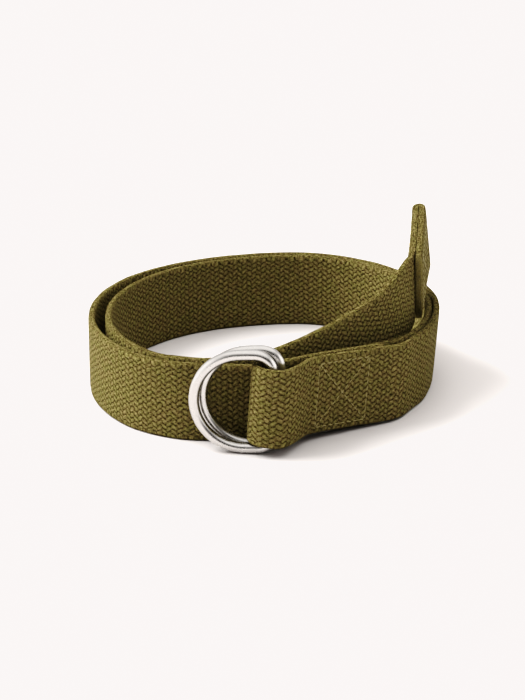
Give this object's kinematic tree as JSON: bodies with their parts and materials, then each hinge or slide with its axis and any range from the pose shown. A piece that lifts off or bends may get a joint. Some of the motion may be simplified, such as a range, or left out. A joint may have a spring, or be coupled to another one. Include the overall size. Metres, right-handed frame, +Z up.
{
  "type": "belt with two rings",
  "caption": "Woven olive webbing belt with a pair of plain wire D rings, coiled and standing on its edge with the free tail climbing inside the coil.",
  "frame": {"origin": "bottom centre of the bounding box, on the surface that the belt stands on", "axes": "+Z up from that surface, -Y towards the side with the rings, +X to the right as seen from that side"},
  "size_m": [0.1714, 0.184, 0.0835],
  "materials": {
    "webbing": "matte",
    "ring": "satin"
  },
  "bodies": {
    "root": {"webbing": "webbing", "front_ring": "ring", "back_ring": "ring"}
  },
  "joints": []
}
